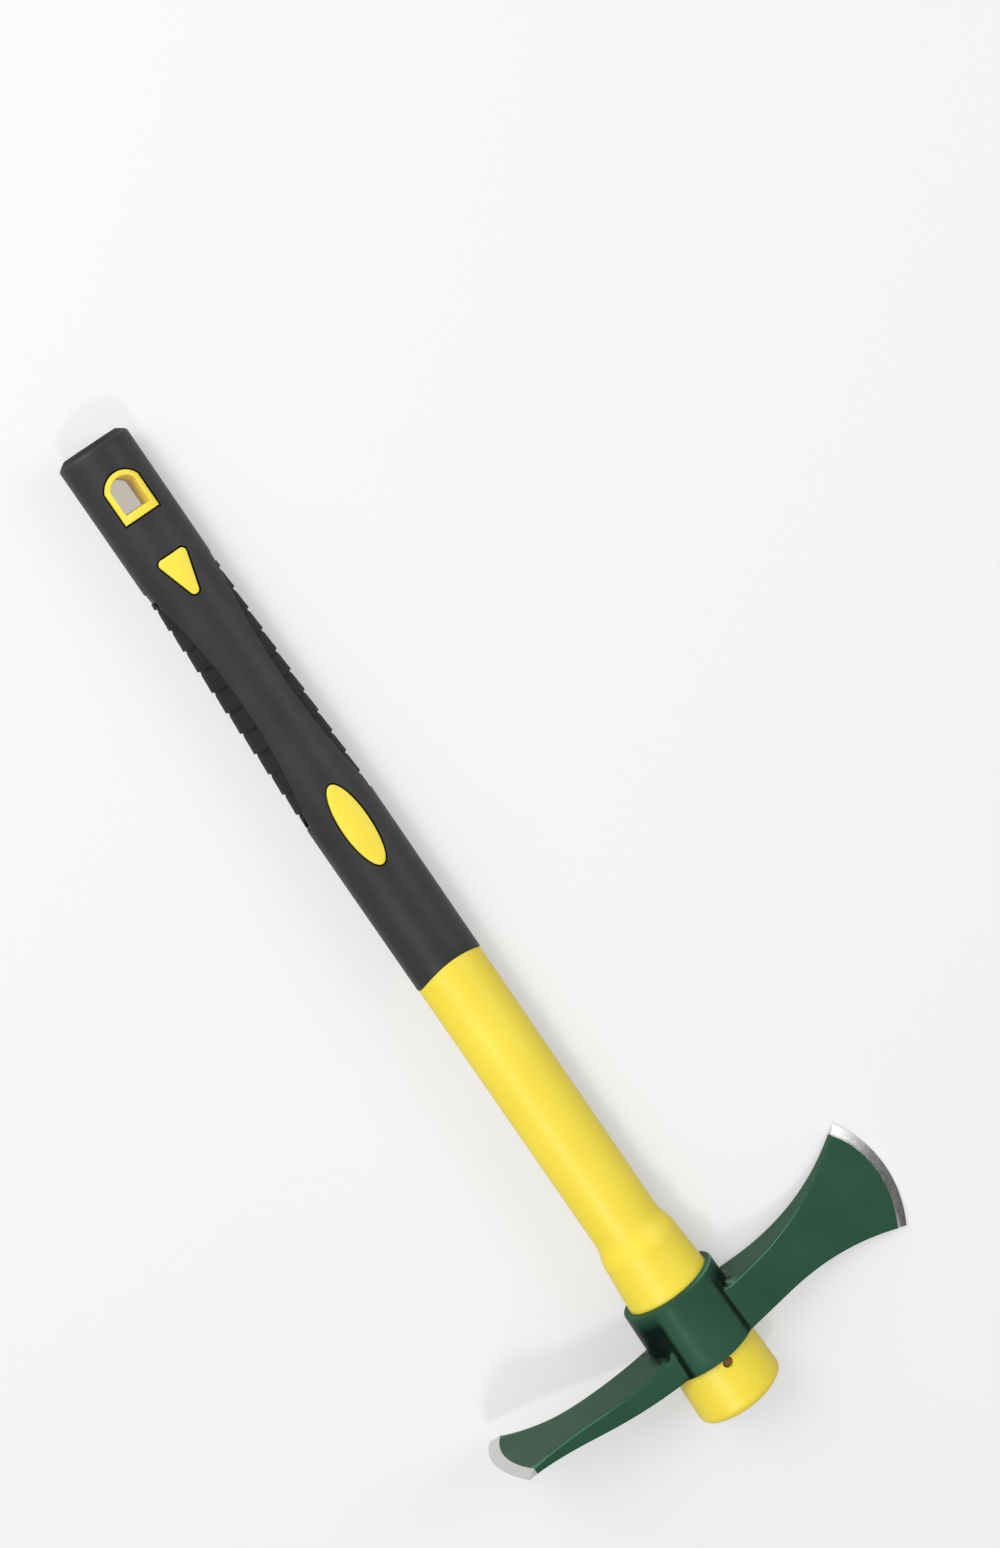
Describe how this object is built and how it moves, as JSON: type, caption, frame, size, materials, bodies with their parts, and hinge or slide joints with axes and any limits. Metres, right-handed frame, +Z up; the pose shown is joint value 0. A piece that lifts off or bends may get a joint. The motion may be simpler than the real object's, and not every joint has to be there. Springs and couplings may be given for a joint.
{
  "type": "cutter mattock",
  "caption": "Small cutter mattock: forged head with an axe blade and a hoe blade, on a moulded fibreglass handle with a soft toothed grip and a hanging hole.",
  "frame": {"origin": "centre of the flat end of the handle stub under the head", "axes": "+Y along the handle from the stub to the grip, +Z up with the tool lying on its back, +X from the hoe to the axe"},
  "size_m": [0.2171, 0.5023, 0.0658],
  "materials": {
    "head_paint": "satin dark green paint, bare ground steel along both cutting edges",
    "pin_steel": "dull, slightly rusted",
    "fibre": "cut end of glass fibre",
    "yellow_plastic": "satin",
    "grip_rubber": "smooth soft-touch dark grey",
    "tread_rubber": "rough black"
  },
  "bodies": {
    "root": {"mattock_head": "head_paint", "retaining_pin": "pin_steel", "fibre_core": "fibre", "handle_jacket": "yellow_plastic", "grip_sleeve": "grip_rubber", "axe_side_tread": "tread_rubber", "hoe_side_tread": "tread_rubber", "hanging_eyelet": "yellow_plastic", "front_oval_inlay": "yellow_plastic", "back_oval_inlay": "yellow_plastic", "front_triangle_inlay": "yellow_plastic", "back_triangle_inlay": "yellow_plastic"}
  },
  "joints": []
}
